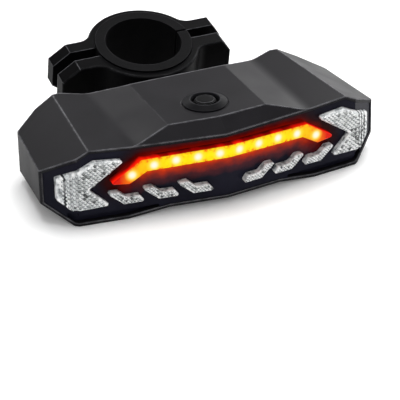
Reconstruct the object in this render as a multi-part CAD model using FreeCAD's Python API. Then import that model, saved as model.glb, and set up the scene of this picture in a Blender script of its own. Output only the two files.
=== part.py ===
import FreeCAD, Part
import math
import os

# Bicycle tail light with turn arrows, on a seat post clamp.
# Millimetres. X runs across the light, Y from the lens to the seat post, Z up from the feet.
# While the pieces are made, y = 0 is the crease of the front; the last section moves the
# whole light so that the origin lies under the middle of its box.

V = FreeCAD.Vector
UP = V(0, 0, 1)
BACK = V(0, 1, 0)
ACROSS = V(1, 0, 0)

# Casing seen from above
half_length = 57.2
body_depth = 39.3
sweep_angle = 7.03
bend_from_end = 9.7
corner_y = 13.45
end_taper = 3.0
shoulder_behind = 2.4
wing_outer_from_end = 11.2
wing_outer_behind = 7.7
wing_x = 37.0
wing_behind = 9.2
recess_half = 17.0

# Casing seen from the front
roof_height = 27.75
roof_half = 16.6
valley_x = 29.2
valley_height = 24.6
valley_radius = 12.0
ridge_from_end = 13.55
ridge_height = 25.4
end_height = 17.9
chin_height = 6.6
foot_from_end = 8.5
foot_inner = 32.0
arch_half = 18.9
arch_height = 1.85
brow_height = 24.0
brow_angle = 33.6
edge_radius = 0.6
corner_radius = 1.0
back_corner_radius = 1.5

# Walls
wall = 2.0
floor_wall = 3.6
lip = 1.0
fit = 0.12
seat_gap = 0.05

# Bezel and the lenses in it
bezel_recess = 0.3
bezel_thickness = 2.4
seal_thickness = 0.8
shoulder_width = 1.0
slot_inner_x = 22.0
slot_from_end = 6.8
slot_height = 3.4
slot_depth = 1.7
notch_width = 3.0
notch_height = 4.4
flange = 0.9
flange_thickness = 1.0
bar_proud = 2.5
arrow_proud = 1.6
chevron_proud = 1.9
lens_corner = 0.6
lens_edge = 0.35

# Light bar outline, right half, its places across counted from the casing's end
bar_top = 21.3
bar_bottom = 17.0
bar_bend_in = 29.2
bar_bend_z = 20.9
bar_elbow_in = 30.8
bar_elbow_z = 16.6
bar_heel_in = 25.3
bar_heel_z = 13.2
bar_tip_in = 18.8
bar_tip_z = 13.9

# Arrow outline, its places across counted from the casing's end
arrow_tip_in = 24.6
arrow_tip_z = 21.1
arrow_crown_in = 14.9
arrow_crown_z = 21.9
arrow_end_in = 4.0
arrow_end_top = 16.4
arrow_end_bottom = 8.9
arrow_base_in = 7.3
arrow_base_z = 6.0
arrow_toe_in = 19.5
arrow_toe_z = 6.4
arrow_notch_in = 12.7
arrow_notch_z = 12.8

# Chevrons: a flat arm and an arm that rises outwards
chevron_count = 3
chevron_inner_x = 4.8
chevron_heel_in = 23.5
chevron_gap = 4.25
chevron_base_z = 6.2
chevron_arm = 2.4
chevron_rise = 4.5
chevron_run = 5.4
chevron_cut = 1.8

# Lamp boards
baffle_depth = 2.6
board_thickness = 1.2
lamp_board_inner_x = 1.0
lamp_board_margin = 1.0
lamp_board_low = 5.8
lamp_board_high = 20.6
lamp_bay_gap = 0.2
led_width = 2.4
led_height = 1.6
led_thickness = 0.9
bar_led_inner_x = 3.3
bar_led_places = [(33.0, 18.6), (26.0, 16.3)]
bar_led_middle_z = 19.1
bar_led_count = 3
arrow_led_places = [(17.8, 18.9), (13.6, 17.4), (12.6, 9.2)]
baffle_room = 0.4
baffle_above = 1.2
baffle_lip = 0.2

# Bottom cover
cover_thickness = 1.8
cover_seal_thickness = 0.6
seal_margin = 0.2
cover_from_end = 10.9
cover_front = 9.5
cover_back_margin = 3.8
cover_corner = 3.0
ledge = 1.6
cover_screw_margin = 4.0
cover_screw_front_y = 18.0
cover_screw_back_gap = 8.3
screw_boss_radius = 3.0
screw_shank_radius = 1.2
screw_head_radius = 2.3
screw_head_height = 1.1
cover_screw_length = 9.0
screw_sink = 0.15
screw_room = 0.1
pilot_spare = 1.0
cross_width = 0.5
cross_depth = 0.6

# Siren under its grille
siren_margin = 0.9
siren_height = 7.5
siren_rim = 1.4
siren_mouth = 1.2
siren_cap_in = 3.5
siren_cap_height = 1.0
membrane_thickness = 0.3
grille_slot_width = 1.3
grille_pitch = 3.1
grille_margin = 2.1

# Battery
battery_from_end = 19.0
battery_under_board = 2.3
battery_front_y = 13.6
battery_back_gap = 3.1
battery_low = 5.9
battery_gap = 3.7
battery_corner = 2.0
battery_edge = 1.0
cradle_rib = 1.4
cradle_margin = 3.0
cradle_front_y = 17.0
cradle_back_gap = 6.3

# Main board and the switch on it
board_under_roof = 6.35
board_under_valley = 3.2
board_left_x = 19.0
board_right_x = 33.0
board_front_y = 12.6
board_back_gap = 7.0
board_corner = 1.5
post_x = 13.5
post_front_y = 15.8
post_back_gap = 10.0
post_radius = 2.4
board_screw_length = 5.0
switch_side = 6.0
switch_height = 2.6
switch_floor = 0.4
plunger_radius = 1.7
plunger_height = 0.9
plunger_room = 0.1
controller_side = 7.0
controller_y = 21.5
controller_height = 1.2
receiver_width = 11.0
receiver_depth = 10.0
receiver_height = 2.0
receiver_margin = 2.0
sensor_side = 4.0
sensor_height = 1.0
sensor_margin = 1.3

# Button on the plateau
button_y = 16.5
button_radius = 7.1
button_rise = 1.3
button_foot = 0.3
button_flank = 2.2
button_groove = 0.35
button_groove_depth = 0.4
button_well_radius = 4.3
button_well_bevel = 0.4
button_well_depth = 0.9
button_lip = 0.6
button_spigot_radius = 6.0
button_spigot_depth = 3.6
button_cap_radius = 3.35
button_cap_proud = 0.05
button_cap_flange = 1.45
button_cap_flange_height = 0.8
button_cap_bevel = 0.5
button_cap_dome = 0.1
button_cap_room = 0.15
button_stem_radius = 1.9
button_travel = 0.8

# Charging socket in the right rear facet
port_height = 13.0
port_width = 13.0
port_tall = 7.4
port_pocket = 1.3
port_hole_width = 10.4
port_hole_tall = 5.0
port_plug_width = 8.2
port_plug_tall = 2.4
port_bead_radius = 0.6
port_corner = 1.4
port_neck = 0.8
port_tab_half = 2.5
port_tab_low = 0.4
port_tab_high = 1.6
port_tab_out = 0.9
socket_width = 8.9
socket_tall = 3.2
socket_depth = 7.3
socket_wall = 0.35
charge_board_width = 15.0
charge_board_depth = 10.0
charge_board_gap = 0.3
socket_gap = 0.1
socket_floor = 1.2
socket_lip = 1.0
tongue_half = 3.3
tongue_tall = 0.7

# Bracket on the casing's back
bracket_half = 13.4
bracket_low = 3.0
bracket_high = 24.6
bracket_plate = 2.4
bracket_corner = 2.0
bracket_screw_x = 10.2
bracket_screw_spread = 6.8
bracket_boss_radius = 2.8
bracket_boss_length = 6.5
bracket_screw_length = 8.0
pivot_behind = 7.3
pivot_z = 14.0
knuckle_half = 5.0
knuckle_radius = 4.4
lug_gap = 0.2
lug_thickness = 3.5
lug_radius = 4.3
lug_root = 6.4
pivot_radius = 2.5
pivot_fit = 0.05
pivot_head_radius = 4.2
pivot_head_height = 4.0
pivot_nut_radius = 4.5
pivot_nut_height = 3.8
pivot_tip = 0.8
pivot_key_radius = 2.3
pivot_key_depth = 2.2

# Post clamp, in its own frame: the origin is the middle of the sleeve's top, Z is the post
clamp_stand = 2.4
clamp_z = 28.0
clamp_tilt = 13.7
post_bore_radius = 12.7
sleeve_wall = 3.45
sleeve_length = 23.5
sleeve_slit = 1.0
sleeve_stand = 0.7
clamp_bore_clearance = 0.1
clamp_wall = 2.35
clamp_height = 21.0
left_ear_reach = 12.4
right_ear_reach = 10.4
ear_height = 16.6
ear_gap = 4.4
ear_thickness = 5.1
left_ear_cut_x = 5.9
left_ear_cut_z = 4.3
right_ear_cut_x = 3.2
right_ear_cut_z = 4.7
ear_blend = 5.0
clamp_edge = 0.7
clamp_arm_root = 7.0
clamp_arm_sunk = 2.0
clamp_bolt_out = 5.4
clamp_bolt_radius = 1.95
clamp_bolt_fit = 0.05
clamp_bolt_room = 0.25
bolt_seat_radius = 4.1
bolt_seat_depth = 2.5
bolt_head_radius = 3.5
bolt_head_height = 2.6
bolt_head_edge = 0.5
bolt_key_radius = 1.7
bolt_key_depth = 1.5
bolt_tip_gap = 0.2
washer_radius = 3.9
washer_thickness = 0.5
insert_radius = 2.8
insert_length = 3.9

SIDES = (1, -1)
nearly_straight = math.radians(88)
hair = 0.01
far = 200.0

# Places that follow the casing's ends and back
bend_x = half_length - bend_from_end
wing_outer_x = half_length - wing_outer_from_end
ridge_x = half_length - ridge_from_end
foot_outer = half_length - foot_from_end
slot_outer_x = half_length - slot_from_end
cover_half = half_length - cover_from_end
cover_screw_x = cover_half - cover_screw_margin
lamp_board_outer_x = bend_x - lamp_board_margin
battery_left_x = battery_from_end - half_length
# The board hangs clear of both the switch's stack under the plateau and the skin of the valleys
board_top = min(roof_height - board_under_roof, valley_height - board_under_valley)
board_bottom = board_top - board_thickness
battery_height = board_bottom - battery_under_board - battery_low
shoulder_y = body_depth + shoulder_behind
wing_outer_y = body_depth + wing_outer_behind
wing_y = body_depth + wing_behind
cover_screw_back_y = body_depth - cover_screw_back_gap
battery_back_y = body_depth - battery_back_gap
cradle_back_y = body_depth - cradle_back_gap
board_back_y = body_depth - board_back_gap
post_back_y = body_depth - post_back_gap

# Sizes that follow the post
sleeve_radius = post_bore_radius + sleeve_wall
clamp_bore_radius = sleeve_radius + clamp_bore_clearance
clamp_outer_radius = clamp_bore_radius + clamp_wall
left_ear_end = clamp_outer_radius + left_ear_reach
right_ear_end = clamp_outer_radius + right_ear_reach
clamp_bolt_x = clamp_outer_radius + clamp_bolt_out
pivot_y = body_depth + pivot_behind
clamp_y = pivot_y + clamp_outer_radius + clamp_stand

# Slopes of the front
sweep = math.tan(math.radians(sweep_angle))
bevel = (corner_y - sweep * bend_x) / (half_length - bend_x)
back_half = half_length - end_taper


# Outlines and solids from them

def mirrored(right):
    """Closed outline from the points of its right half, run from front or bottom upwards."""
    left = [(-u, v) for u, v in reversed(right) if u > 0]
    return right + left


def inset_outline(points, distances):
    """Moves each edge of a counter-clockwise outline inwards by its own distance."""
    count = len(points)
    moved = []
    for i in range(count):
        lines = []
        for k in (i - 1, i):
            ax, ay = points[k]
            bx, by = points[(k + 1) % count]
            size = math.hypot(bx - ax, by - ay)
            nx, ny = -(by - ay) / size, (bx - ax) / size
            lines.append((nx, ny, nx * ax + ny * ay + distances[k]))
        (n1, m1, c1), (n2, m2, c2) = lines
        det = n1 * m2 - n2 * m1
        moved.append(((c1 * m2 - c2 * m1) / det, (n1 * c2 - n2 * c1) / det))
    return moved


def inset_all(points, distance):
    return inset_outline(points, [distance] * len(points))


def rounded_wire(points, radii, lift):
    """Closed wire through the points, each corner turned into an arc of its radius."""
    count = len(points)
    corners = []
    for i in range(count):
        p = lift(*points[i])
        a = lift(*points[i - 1]) - p
        b = lift(*points[(i + 1) % count]) - p
        half_turn = a.getAngle(b) / 2
        shorter = min(a.Length, b.Length)
        radius = min(radii[i], 0.48 * shorter * math.tan(half_turn))
        a.normalize()
        b.normalize()
        if radius < 0.01 or half_turn > nearly_straight:
            corners.append((p, None, p))
            continue
        reach = radius / math.tan(half_turn)
        middle = a + b
        middle.normalize()
        nearest = middle * (radius / math.sin(half_turn) - radius)
        corners.append((p + a * reach, p + nearest, p + b * reach))
    edges = []
    for i in range(count):
        start, mid, end = corners[i]
        if mid is not None:
            edges.append(Part.Arc(start, mid, end).toShape())
        following = corners[(i + 1) % count][0]
        if (following - end).Length > 1e-6:
            edges.append(Part.LineSegment(end, following).toShape())
    return Part.Wire(edges)


def prism(points, direction, start, stop, radius=0.0):
    """Outline pushed along an axis; radius is one value or one for each corner."""
    radii = radius if isinstance(radius, list) else [radius] * len(points)
    lifts = {
        "x": lambda u, v: V(start, u, v),
        "y": lambda u, v: V(u, start, v),
        "z": lambda u, v: V(u, v, start),
    }
    pushes = {"x": ACROSS, "y": BACK, "z": UP}
    face = Part.Face(rounded_wire(points, radii, lifts[direction]))
    return face.extrude(pushes[direction] * (stop - start))


def through(points, radius=0.0):
    """Outline seen from the front, pushed through the whole light."""
    return prism(points, "y", -far, far, radius)


def block(x0, x1, y0, y1, z0, z1):
    return Part.makeBox(x1 - x0, y1 - y0, z1 - z0, V(x0, y0, z0))


def rod(radius, start, stop):
    """Cylinder from one point to another."""
    along = stop - start
    return Part.makeCylinder(radius, along.Length, start, along)


def cone(r1, r2, start, stop):
    along = stop - start
    return Part.makeCone(r1, r2, along.Length, start, along)


def above_plane(points, depth):
    """Large block that lies above the plane through three points, once sunk by depth."""
    a, b, c = points
    normal = (b - a).cross(c - a)
    normal.normalize()
    if normal.z < 0:
        normal = normal * -1
    slab = Part.makeBox(2 * far, 2 * far, far, V(-far, -far, 0))
    slab.Placement = FreeCAD.Placement(a - normal * depth, FreeCAD.Rotation(UP, normal))
    return slab


def fused(shapes):
    result = shapes[0]
    for shape in shapes[1:]:
        result = result.fuse(shape)
    return result.removeSplitter()


def cut_by(shape, tools):
    for tool in tools:
        shape = shape.cut(tool)
    return shape


def eased(shape, radius, chosen):
    """Rounds the edges that the chosen test accepts."""
    edges = [edge for edge in shape.Edges if chosen(edge)]
    return shape.makeFillet(radius, edges)


def middle_of(edge):
    return edge.valueAt((edge.FirstParameter + edge.LastParameter) / 2)


# Casing outlines

plan_right = [
    (0.0, 0.0),
    (bend_x, sweep * bend_x),
    (half_length, corner_y),
    (back_half, shoulder_y),
    (wing_outer_x, wing_outer_y),
    (wing_x, wing_y),
    (recess_half, body_depth),
]
plan_points = mirrored(plan_right)

feet_right = [
    (arch_half, arch_height),
    (foot_inner, 0.0),
    (foot_outer, 0.0),
    (half_length, chin_height),
]
wing_slope = (ridge_height - valley_height) / (ridge_x - valley_x)
wing_reach = (half_length, valley_height + wing_slope * (half_length - valley_x))
roof_right = [
    wing_reach,
    (valley_x, valley_height),
    (roof_half, roof_height),
]
section_points = mirrored(feet_right + roof_right)

front_right = feet_right + [
    (half_length, end_height),
    (ridge_x, ridge_height),
    (valley_x, valley_height),
    (0.0, brow_height),
]
front_points = mirrored(front_right)


def body_form(skin, floor, front):
    """Faceted casing form, with its skin, floor and front moved inwards by these amounts."""
    swept = front * math.cos(math.radians(sweep_angle))
    folded = front * math.cos(math.atan(bevel))
    plan_moves = [swept, folded] + [skin] * (len(plan_points) - 4) + [folded, swept]
    side_radii = [0, corner_radius] + [back_corner_radius] * 3 + [corner_radius]
    plan_radii = [0] + side_radii + side_radii[::-1]
    section_moves = [floor] * 2 + [skin] * (len(section_points) - 5) + [floor] * 3
    side_radii = [0] * 5 + [valley_radius, edge_radius]
    section_radii = side_radii + side_radii[::-1]
    plan = prism(inset_outline(plan_points, plan_moves), "z", -far, far, plan_radii)
    section = through(inset_outline(section_points, section_moves), section_radii)
    form = plan.common(section)
    brow_rise = math.tan(math.radians(brow_angle))
    for side in SIDES:
        brow = above_plane([
            V(0, 0, brow_height),
            V(side * valley_x, sweep * valley_x, valley_height),
            V(0, 1, brow_height + brow_rise),
        ], skin)
        low, high = sorted((0.0, side * (valley_x - skin * wing_slope)))
        form = form.cut(brow.common(block(low, high, -far, far, 0, far)))
        form = form.cut(above_plane([
            V(side * ridge_x, sweep * ridge_x, ridge_height),
            V(side * half_length, corner_y, end_height),
            V(side * back_half, shoulder_y, end_height),
        ], skin))
    return form


def front_band(near, deep):
    """Slab that follows the swept front, from near to deep behind it."""
    reach = 15.0
    edge = [(bend_x, sweep * bend_x), (half_length + reach, corner_y + bevel * reach)]
    line = [(-u, v) for u, v in reversed(edge)] + [(0.0, 0.0)] + edge
    outline = [(u, v + near) for u, v in line] + [(u, v + deep) for u, v in reversed(line)]
    return prism(outline, "z", -far, far)


def floor_band(low, high):
    """Slab that follows the underside, from low to high above it."""
    line = [(-foot_outer, 0.0), (-foot_inner, 0.0), (-arch_half, arch_height)]
    line = line + [(-u, v) for u, v in reversed(line)]
    outline = [(u, v + low) for u, v in line] + [(u, v + high) for u, v in reversed(line)]
    return through(outline)


# Lens outlines

bar_right = [
    (0.0, bar_bottom),
    (half_length - bar_elbow_in, bar_elbow_z),
    (half_length - bar_heel_in, bar_heel_z),
    (half_length - bar_tip_in, bar_tip_z),
    (half_length - bar_bend_in, bar_bend_z),
    (0.0, bar_top),
]
bar_points = mirrored(bar_right)
arrow_places = [
    (arrow_toe_in, arrow_toe_z),
    (arrow_base_in, arrow_base_z),
    (arrow_end_in, arrow_end_bottom),
    (arrow_end_in, arrow_end_top),
    (arrow_crown_in, arrow_crown_z),
    (arrow_tip_in, arrow_tip_z),
    (arrow_notch_in, arrow_notch_z),
]
arrow_points = [(half_length - inwards, z) for inwards, z in arrow_places]
arrow_led_spots = [(half_length - inwards, z) for inwards, z in arrow_led_places]
bar_led_spots = [(half_length - inwards, z) for inwards, z in bar_led_places]
bar_led_pitch = (bar_led_spots[0][0] - bar_led_inner_x) / bar_led_count
bar_led_spots += [(bar_led_inner_x + n * bar_led_pitch, bar_led_middle_z) for n in range(bar_led_count)]
chevron_heel_x = half_length - chevron_heel_in
chevron_pitch = (chevron_heel_x + chevron_gap - chevron_inner_x) / chevron_count
chevron_flat_length = chevron_pitch - chevron_gap


def chevron_points(number):
    """Check mark number 0, 1 or 2, counted from the outside."""
    heel = chevron_heel_x - number * chevron_pitch
    low = chevron_base_z
    slant = chevron_run / chevron_rise
    inner_corner = heel - chevron_arm * (math.hypot(chevron_run, chevron_rise) - chevron_run) / chevron_rise
    top = low + chevron_rise
    return [
        (heel - chevron_flat_length, low),
        (heel, low),
        (heel + chevron_run, top),
        (inner_corner + slant * (chevron_rise - chevron_arm), top),
        (inner_corner, low + chevron_arm),
        (heel - chevron_flat_length + chevron_cut, low + chevron_arm),
    ]


def on_side(points, side):
    return [(side * u, v) for u, v in points]


bezel_back = bezel_recess + bezel_thickness
flange_back = bezel_back + flange_thickness
baffle_back = flange_back + baffle_depth
bay_back = baffle_back + board_thickness + lamp_bay_gap
shoulder = bezel_back + seal_thickness
mouth_points = inset_all(front_points, lip + shoulder_width)
flange_limit = through(inset_all(front_points, lip + shoulder_width + fit))


def lens(points, proud):
    """Block through the bezel with a flange behind it."""
    stem = through(points, lens_corner).common(front_band(-proud, flange_back))
    if stem.BoundBox.XMin < 0 < stem.BoundBox.XMax:
        right = ease_front(stem.common(block(0, far, -far, far, -far, far)), proud)
        stem = fused([right, right.mirror(V(0, 0, 0), ACROSS)])
    else:
        stem = ease_front(stem, proud)
    wide = inset_all(points, -flange)
    skirt = through(wide, lens_corner + flange).common(front_band(bezel_back, flange_back))
    return fused([stem, skirt.common(flange_limit)])


def ease_front(stem, proud):
    """Breaks the edge of a lens's front face."""
    def on_face(edge):
        for t in (edge.FirstParameter, edge.LastParameter):
            p = edge.valueAt(t)
            run = abs(p.x)
            front_y = sweep * run if run < bend_x else sweep * bend_x + bevel * (run - bend_x)
            if abs(p.y - (front_y - proud)) > hair:
                return False
        return True

    def is_fold(edge):
        m = middle_of(edge)
        ends = [edge.valueAt(edge.FirstParameter), edge.valueAt(edge.LastParameter)]
        upright = abs(ends[0].x - ends[1].x) < hair / 100
        return upright and (abs(m.x) < hair or abs(abs(m.x) - bend_x) < hair)

    edges = [edge for edge in stem.Edges if on_face(edge) and not is_fold(edge)]
    return stem.makeChamfer(lens_edge, edges)


def windows():
    """Openings in the bezel for every lens."""
    outlines = [bar_points]
    for side in SIDES:
        outlines.append(on_side(arrow_points, side))
        outlines += [on_side(chevron_points(n), side) for n in range(chevron_count)]
    cuts = []
    for outline in outlines:
        turned = outline if is_counter_clockwise(outline) else outline[::-1]
        cuts.append(through(inset_all(turned, -fit), lens_corner + fit))
    return cuts


def is_counter_clockwise(points):
    total = 0.0
    for (ax, ay), (bx, by) in zip(points, points[1:] + points[:1]):
        total += ax * by - bx * ay
    return total > 0


def turned_to(points, side):
    """Outline for the right or left side, kept counter-clockwise."""
    outline = on_side(points, side)
    return outline if side > 0 else outline[::-1]


# Front pieces

def make_bezel():
    plate = through(inset_all(front_points, lip + fit)).common(front_band(bezel_recess, bezel_back))
    slots = []
    for side in SIDES:
        low, high = sorted((side * slot_inner_x, side * slot_outer_x))
        slots.append(block(low, high, -far, far, -far, slot_height))
        low, high = sorted((side * (slot_outer_x - notch_width), side * slot_outer_x))
        slots.append(block(low, high, -far, far, -far, notch_height))
    front_half = front_band(-bar_proud, bezel_recess + slot_depth)
    slots = [slot.common(front_half) for slot in slots]
    return cut_by(plate, windows() + slots)


def make_front_seal():
    ring = through(inset_all(front_points, lip + fit)).common(front_band(bezel_back, shoulder))
    return ring.cut(through(mouth_points))


def make_chevrons(side):
    return Part.makeCompound(
        [lens(turned_to(chevron_points(n), side), chevron_proud) for n in range(chevron_count)])


def make_baffle():
    plate = through(inset_all(front_points, lip + shoulder_width + baffle_room))
    plate = plate.common(front_band(flange_back, baffle_back))
    plate = plate.common(block(
        -lamp_board_outer_x, lamp_board_outer_x, -far, far, 0, lamp_board_high + baffle_above))
    wells = [bar_points]
    for side in SIDES:
        wells.append(turned_to(arrow_points, side))
        wells += [turned_to(chevron_points(n), side) for n in range(chevron_count)]
    return cut_by(plate, [through(inset_all(well, baffle_lip)) for well in wells])


def make_lamp_board(side):
    low, high = sorted((side * lamp_board_inner_x, side * lamp_board_outer_x))
    board = block(low, high, -far, far, lamp_board_low, lamp_board_high)
    return board.common(front_band(baffle_back, baffle_back + board_thickness))


def make_leds(spots):
    """Small lamps on the front faces of the two boards."""
    lamps = []
    slab = front_band(baffle_back - led_thickness, baffle_back)
    for side in SIDES:
        for x, z in spots:
            centre = side * x
            lamps.append(block(
                centre - led_width / 2, centre + led_width / 2, -far, far,
                z - led_height / 2, z + led_height / 2).common(slab))
    return Part.makeCompound(lamps)


def chevron_led_spots():
    return [(chevron_heel_x - n * chevron_pitch - chevron_flat_length / 3,
             chevron_base_z + chevron_arm / 2) for n in range(chevron_count)]


# Bottom cover

cover_back = body_depth - cover_back_margin
cover_right = [
    (0.0, cover_front),
    (cover_half, cover_front + sweep * cover_half),
    (cover_half, cover_back),
]
cover_points = mirrored(cover_right)
cover_screw_spots = [(side * cover_screw_x, y) for side in SIDES
                     for y in (cover_screw_front_y, cover_screw_back_y)]
siren_low = arch_height + cover_thickness + membrane_thickness
siren_y = (cover_front + cover_back) / 2
siren_radius = (cover_back - cover_front) / 2 - ledge - siren_margin
grille_radius = siren_radius - grille_margin
grille_rows = int((grille_radius - grille_margin) / grille_pitch)
battery_right_x = -(siren_radius + battery_gap)


def cover_prism(offset, radius):
    return prism(inset_all(cover_points, -offset), "z", -far, far, radius)


def countersink(x, y, clearance):
    """Room for a countersunk screw that goes up through the cover."""
    head = screw_head_radius + clearance
    shank = screw_shank_radius + clearance
    flat = V(x, y, screw_sink)
    neck = V(x, y, screw_sink + screw_head_height)
    return fused([rod(head, V(x, y, -wall), flat), cone(head, shank, flat, neck),
                  rod(shank, neck, V(x, y, floor_wall + wall))])


def make_bottom_cover():
    plate = cover_prism(0, cover_corner).common(floor_band(0, cover_thickness))
    ribs = []
    for x in (battery_left_x + cradle_margin, battery_right_x - cradle_margin - cradle_rib):
        rib = block(x, x + cradle_rib, cradle_front_y, cradle_back_y, 0, battery_low)
        ribs.append(rib.cut(floor_band(-wall, cover_thickness / 2)))
    slots = []
    for row in range(-grille_rows, grille_rows + 1):
        offset = row * grille_pitch
        half = math.sqrt(grille_radius ** 2 - offset ** 2) - grille_slot_width / 2
        y = siren_y + offset
        middle = block(-half, half, y - grille_slot_width / 2, y + grille_slot_width / 2, 0, siren_low)
        ends = [rod(grille_slot_width / 2, V(x, y, 0), V(x, y, siren_low)) for x in (-half, half)]
        slots.append(fused([middle] + ends))
    sinks = [countersink(x, y, screw_room) for x, y in cover_screw_spots]
    return cut_by(fused([plate] + ribs), slots + sinks)


def make_cover_seal():
    ring = cover_prism(-seal_margin, cover_corner).cut(cover_prism(seal_margin - ledge, cover_corner))
    ring = ring.common(floor_band(cover_thickness, cover_thickness + cover_seal_thickness))
    room = screw_boss_radius + fit
    return cut_by(ring, [rod(room, V(x, y, 0), V(x, y, far)) for x, y in cover_screw_spots])


def countersunk_screw(length):
    """Screw that points up from z = 0, its head below."""
    neck = V(0, 0, screw_head_height)
    body = fused([cone(screw_head_radius, screw_shank_radius, V(0, 0, 0), neck),
                  rod(screw_shank_radius, neck, V(0, 0, length))])
    half = screw_head_radius - screw_shank_radius + cross_width / 2
    slot = block(-half, half, -cross_width / 2, cross_width / 2, -cross_depth, cross_depth)
    cross = slot.copy()
    cross.rotate(V(0, 0, 0), UP, 90)
    return cut_by(body, [slot, cross])


def make_cover_screws():
    screws = []
    for x, y in cover_screw_spots:
        screw = countersunk_screw(cover_screw_length)
        screw.translate(V(x, y, screw_sink))
        screws.append(screw)
    return Part.makeCompound(screws)


# Casing

post_spots = [(side * post_x, y) for side in SIDES for y in (post_front_y, post_back_y)]
bracket_screw_spots = [(side * bracket_screw_x, pivot_z + rise) for side in SIDES
                       for rise in (bracket_screw_spread, -bracket_screw_spread)]
facet_angle = math.degrees(math.atan2(wing_y - body_depth, wing_x - recess_half))
port_centre = V((recess_half + wing_x) / 2, (body_depth + wing_y) / 2, port_height)


def at_port(shape):
    """Moves a piece made about the origin, with its outside towards +Y, to the charging port."""
    shape.rotate(V(0, 0, 0), UP, facet_angle)
    shape.translate(port_centre)
    return shape


def upright_plate(width, tall, y0, y1, radius):
    outline = [(-width / 2, -tall / 2), (width / 2, -tall / 2), (width / 2, tall / 2), (-width / 2, tall / 2)]
    return prism(outline, "y", y0, y1, radius)


bead_z = port_tall / 2 - port_bead_radius - 2 * fit
bead_y = -port_pocket / 2


def port_cuts():
    pocket = upright_plate(port_width, port_tall, -port_pocket, wall, port_corner)
    hole = upright_plate(port_hole_width, port_hole_tall, -2 * wall, 0, port_corner)
    return [at_port(pocket), at_port(hole)]


def make_housing():
    outer = body_form(0.0, 0.0, 0.0)
    chamber = body_form(wall, floor_wall, bay_back)
    mouth = through(mouth_points).common(front_band(-wall, bay_back + seat_gap))
    rabbet = through(inset_all(front_points, lip)).common(front_band(-wall, shoulder))
    shell = cut_by(outer, [chamber, mouth, rabbet])
    inner_limit = body_form(wall / 2, 0.0, shoulder)
    bosses = []
    for x, y in cover_screw_spots:
        bosses.append(rod(screw_boss_radius, V(x, y, cover_thickness), V(x, y, far)))
    for x, y in post_spots:
        bosses.append(rod(post_radius, V(x, y, board_top), V(x, y, far)))
    for x, z in bracket_screw_spots:
        bosses.append(rod(bracket_boss_radius, V(x, body_depth - bracket_boss_length, z), V(x, body_depth, z)))
    bosses = [boss.common(inner_limit) for boss in bosses]
    recess = cover_prism(fit, cover_corner).common(
        floor_band(-wall, cover_thickness + cover_seal_thickness))
    hatch = cover_prism(-ledge, cover_corner).common(floor_band(-wall, floor_wall + wall))
    shell = cut_by(shell, [recess, hatch])
    shell = fused([shell] + bosses)
    pilot = screw_shank_radius + seat_gap
    holes = []
    for x, y in cover_screw_spots:
        holes.append(rod(pilot, V(x, y, 0), V(x, y, cover_screw_length + pilot_spare)))
    for x, y in post_spots:
        holes.append(rod(pilot, V(x, y, board_bottom), V(x, y, board_bottom + board_screw_length + seat_gap)))
    for x, z in bracket_screw_spots:
        deep = body_depth - bracket_screw_length + bracket_plate - pilot_spare
        holes.append(rod(pilot, V(x, deep, z), V(x, body_depth, z)))
    well = rod(button_spigot_radius + fit, V(0, button_y, switch_top), V(0, button_y, far))
    return cut_by(shell, holes + [well, button_trench()] + port_cuts())


def button_trench():
    """Shallow groove round the foot of the button's ring."""
    floor = V(0, button_y, roof_height - button_groove_depth)
    over = V(0, button_y, roof_height + wall)
    return rod(button_radius + button_groove, floor, over).cut(rod(button_radius, floor, over))


# Control board, switch, battery and siren

def make_main_board():
    outline = [(-board_left_x, board_front_y), (board_right_x, board_front_y),
               (board_right_x, board_back_y), (-board_left_x, board_back_y)]
    board = prism(outline, "z", board_bottom, board_top, board_corner)
    holes = [rod(screw_shank_radius + fit, V(x, y, 0), V(x, y, far)) for x, y in post_spots]
    return cut_by(board, holes)


def pan_screw(length):
    """Screw that points up from z = 0 with a flat round head below it."""
    head = rod(screw_head_radius, V(0, 0, -screw_head_height), V(0, 0, 0))
    return fused([head, rod(screw_shank_radius, V(0, 0, 0), V(0, 0, length))])


def make_board_screws():
    screws = []
    for x, y in post_spots:
        screw = pan_screw(board_screw_length)
        screw.translate(V(x, y, board_bottom))
        screws.append(screw)
    return Part.makeCompound(screws)


def make_control_chips():
    """Controller, radio receiver and motion sensor on the underside of the board."""
    half = controller_side / 2
    controller = block(-half, half, controller_y - half, controller_y + half,
                       board_bottom - controller_height, board_bottom)
    receiver_right = board_right_x - receiver_margin
    receiver_front = board_front_y + receiver_margin
    receiver = block(receiver_right - receiver_width, receiver_right,
                     receiver_front, receiver_front + receiver_depth,
                     board_bottom - receiver_height, board_bottom)
    sensor_right = receiver_right - receiver_width / 2
    sensor_back = board_back_y - sensor_margin
    sensor = block(sensor_right - sensor_side, sensor_right, sensor_back - sensor_side, sensor_back,
                   board_bottom - sensor_height, board_bottom)
    return Part.makeCompound([controller, receiver, sensor])


switch_top = board_top + switch_height
plunger_top = switch_top + plunger_height
ring_top = roof_height + button_rise


def make_switch():
    half = switch_side / 2
    body = block(-half, half, button_y - half, button_y + half, board_top, switch_top)
    room = rod(plunger_radius + plunger_room, V(0, button_y, board_top + switch_floor), V(0, button_y, far))
    return body.cut(room)


def make_plunger():
    low = board_top + switch_floor + button_travel + plunger_room
    return rod(plunger_radius, V(0, button_y, low), V(0, button_y, plunger_top))


def turned(points):
    """Solid of revolution about the button's axis from points of radius and height."""
    ring = [V(r, button_y, z) for r, z in points]
    face = Part.Face(Part.makePolygon(ring + ring[:1]))
    return face.revolve(V(0, button_y, 0), UP, 360)


ring_bore_radius = button_cap_radius + button_cap_flange + button_cap_room
lip_bottom = ring_top - button_well_depth - button_lip


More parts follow.
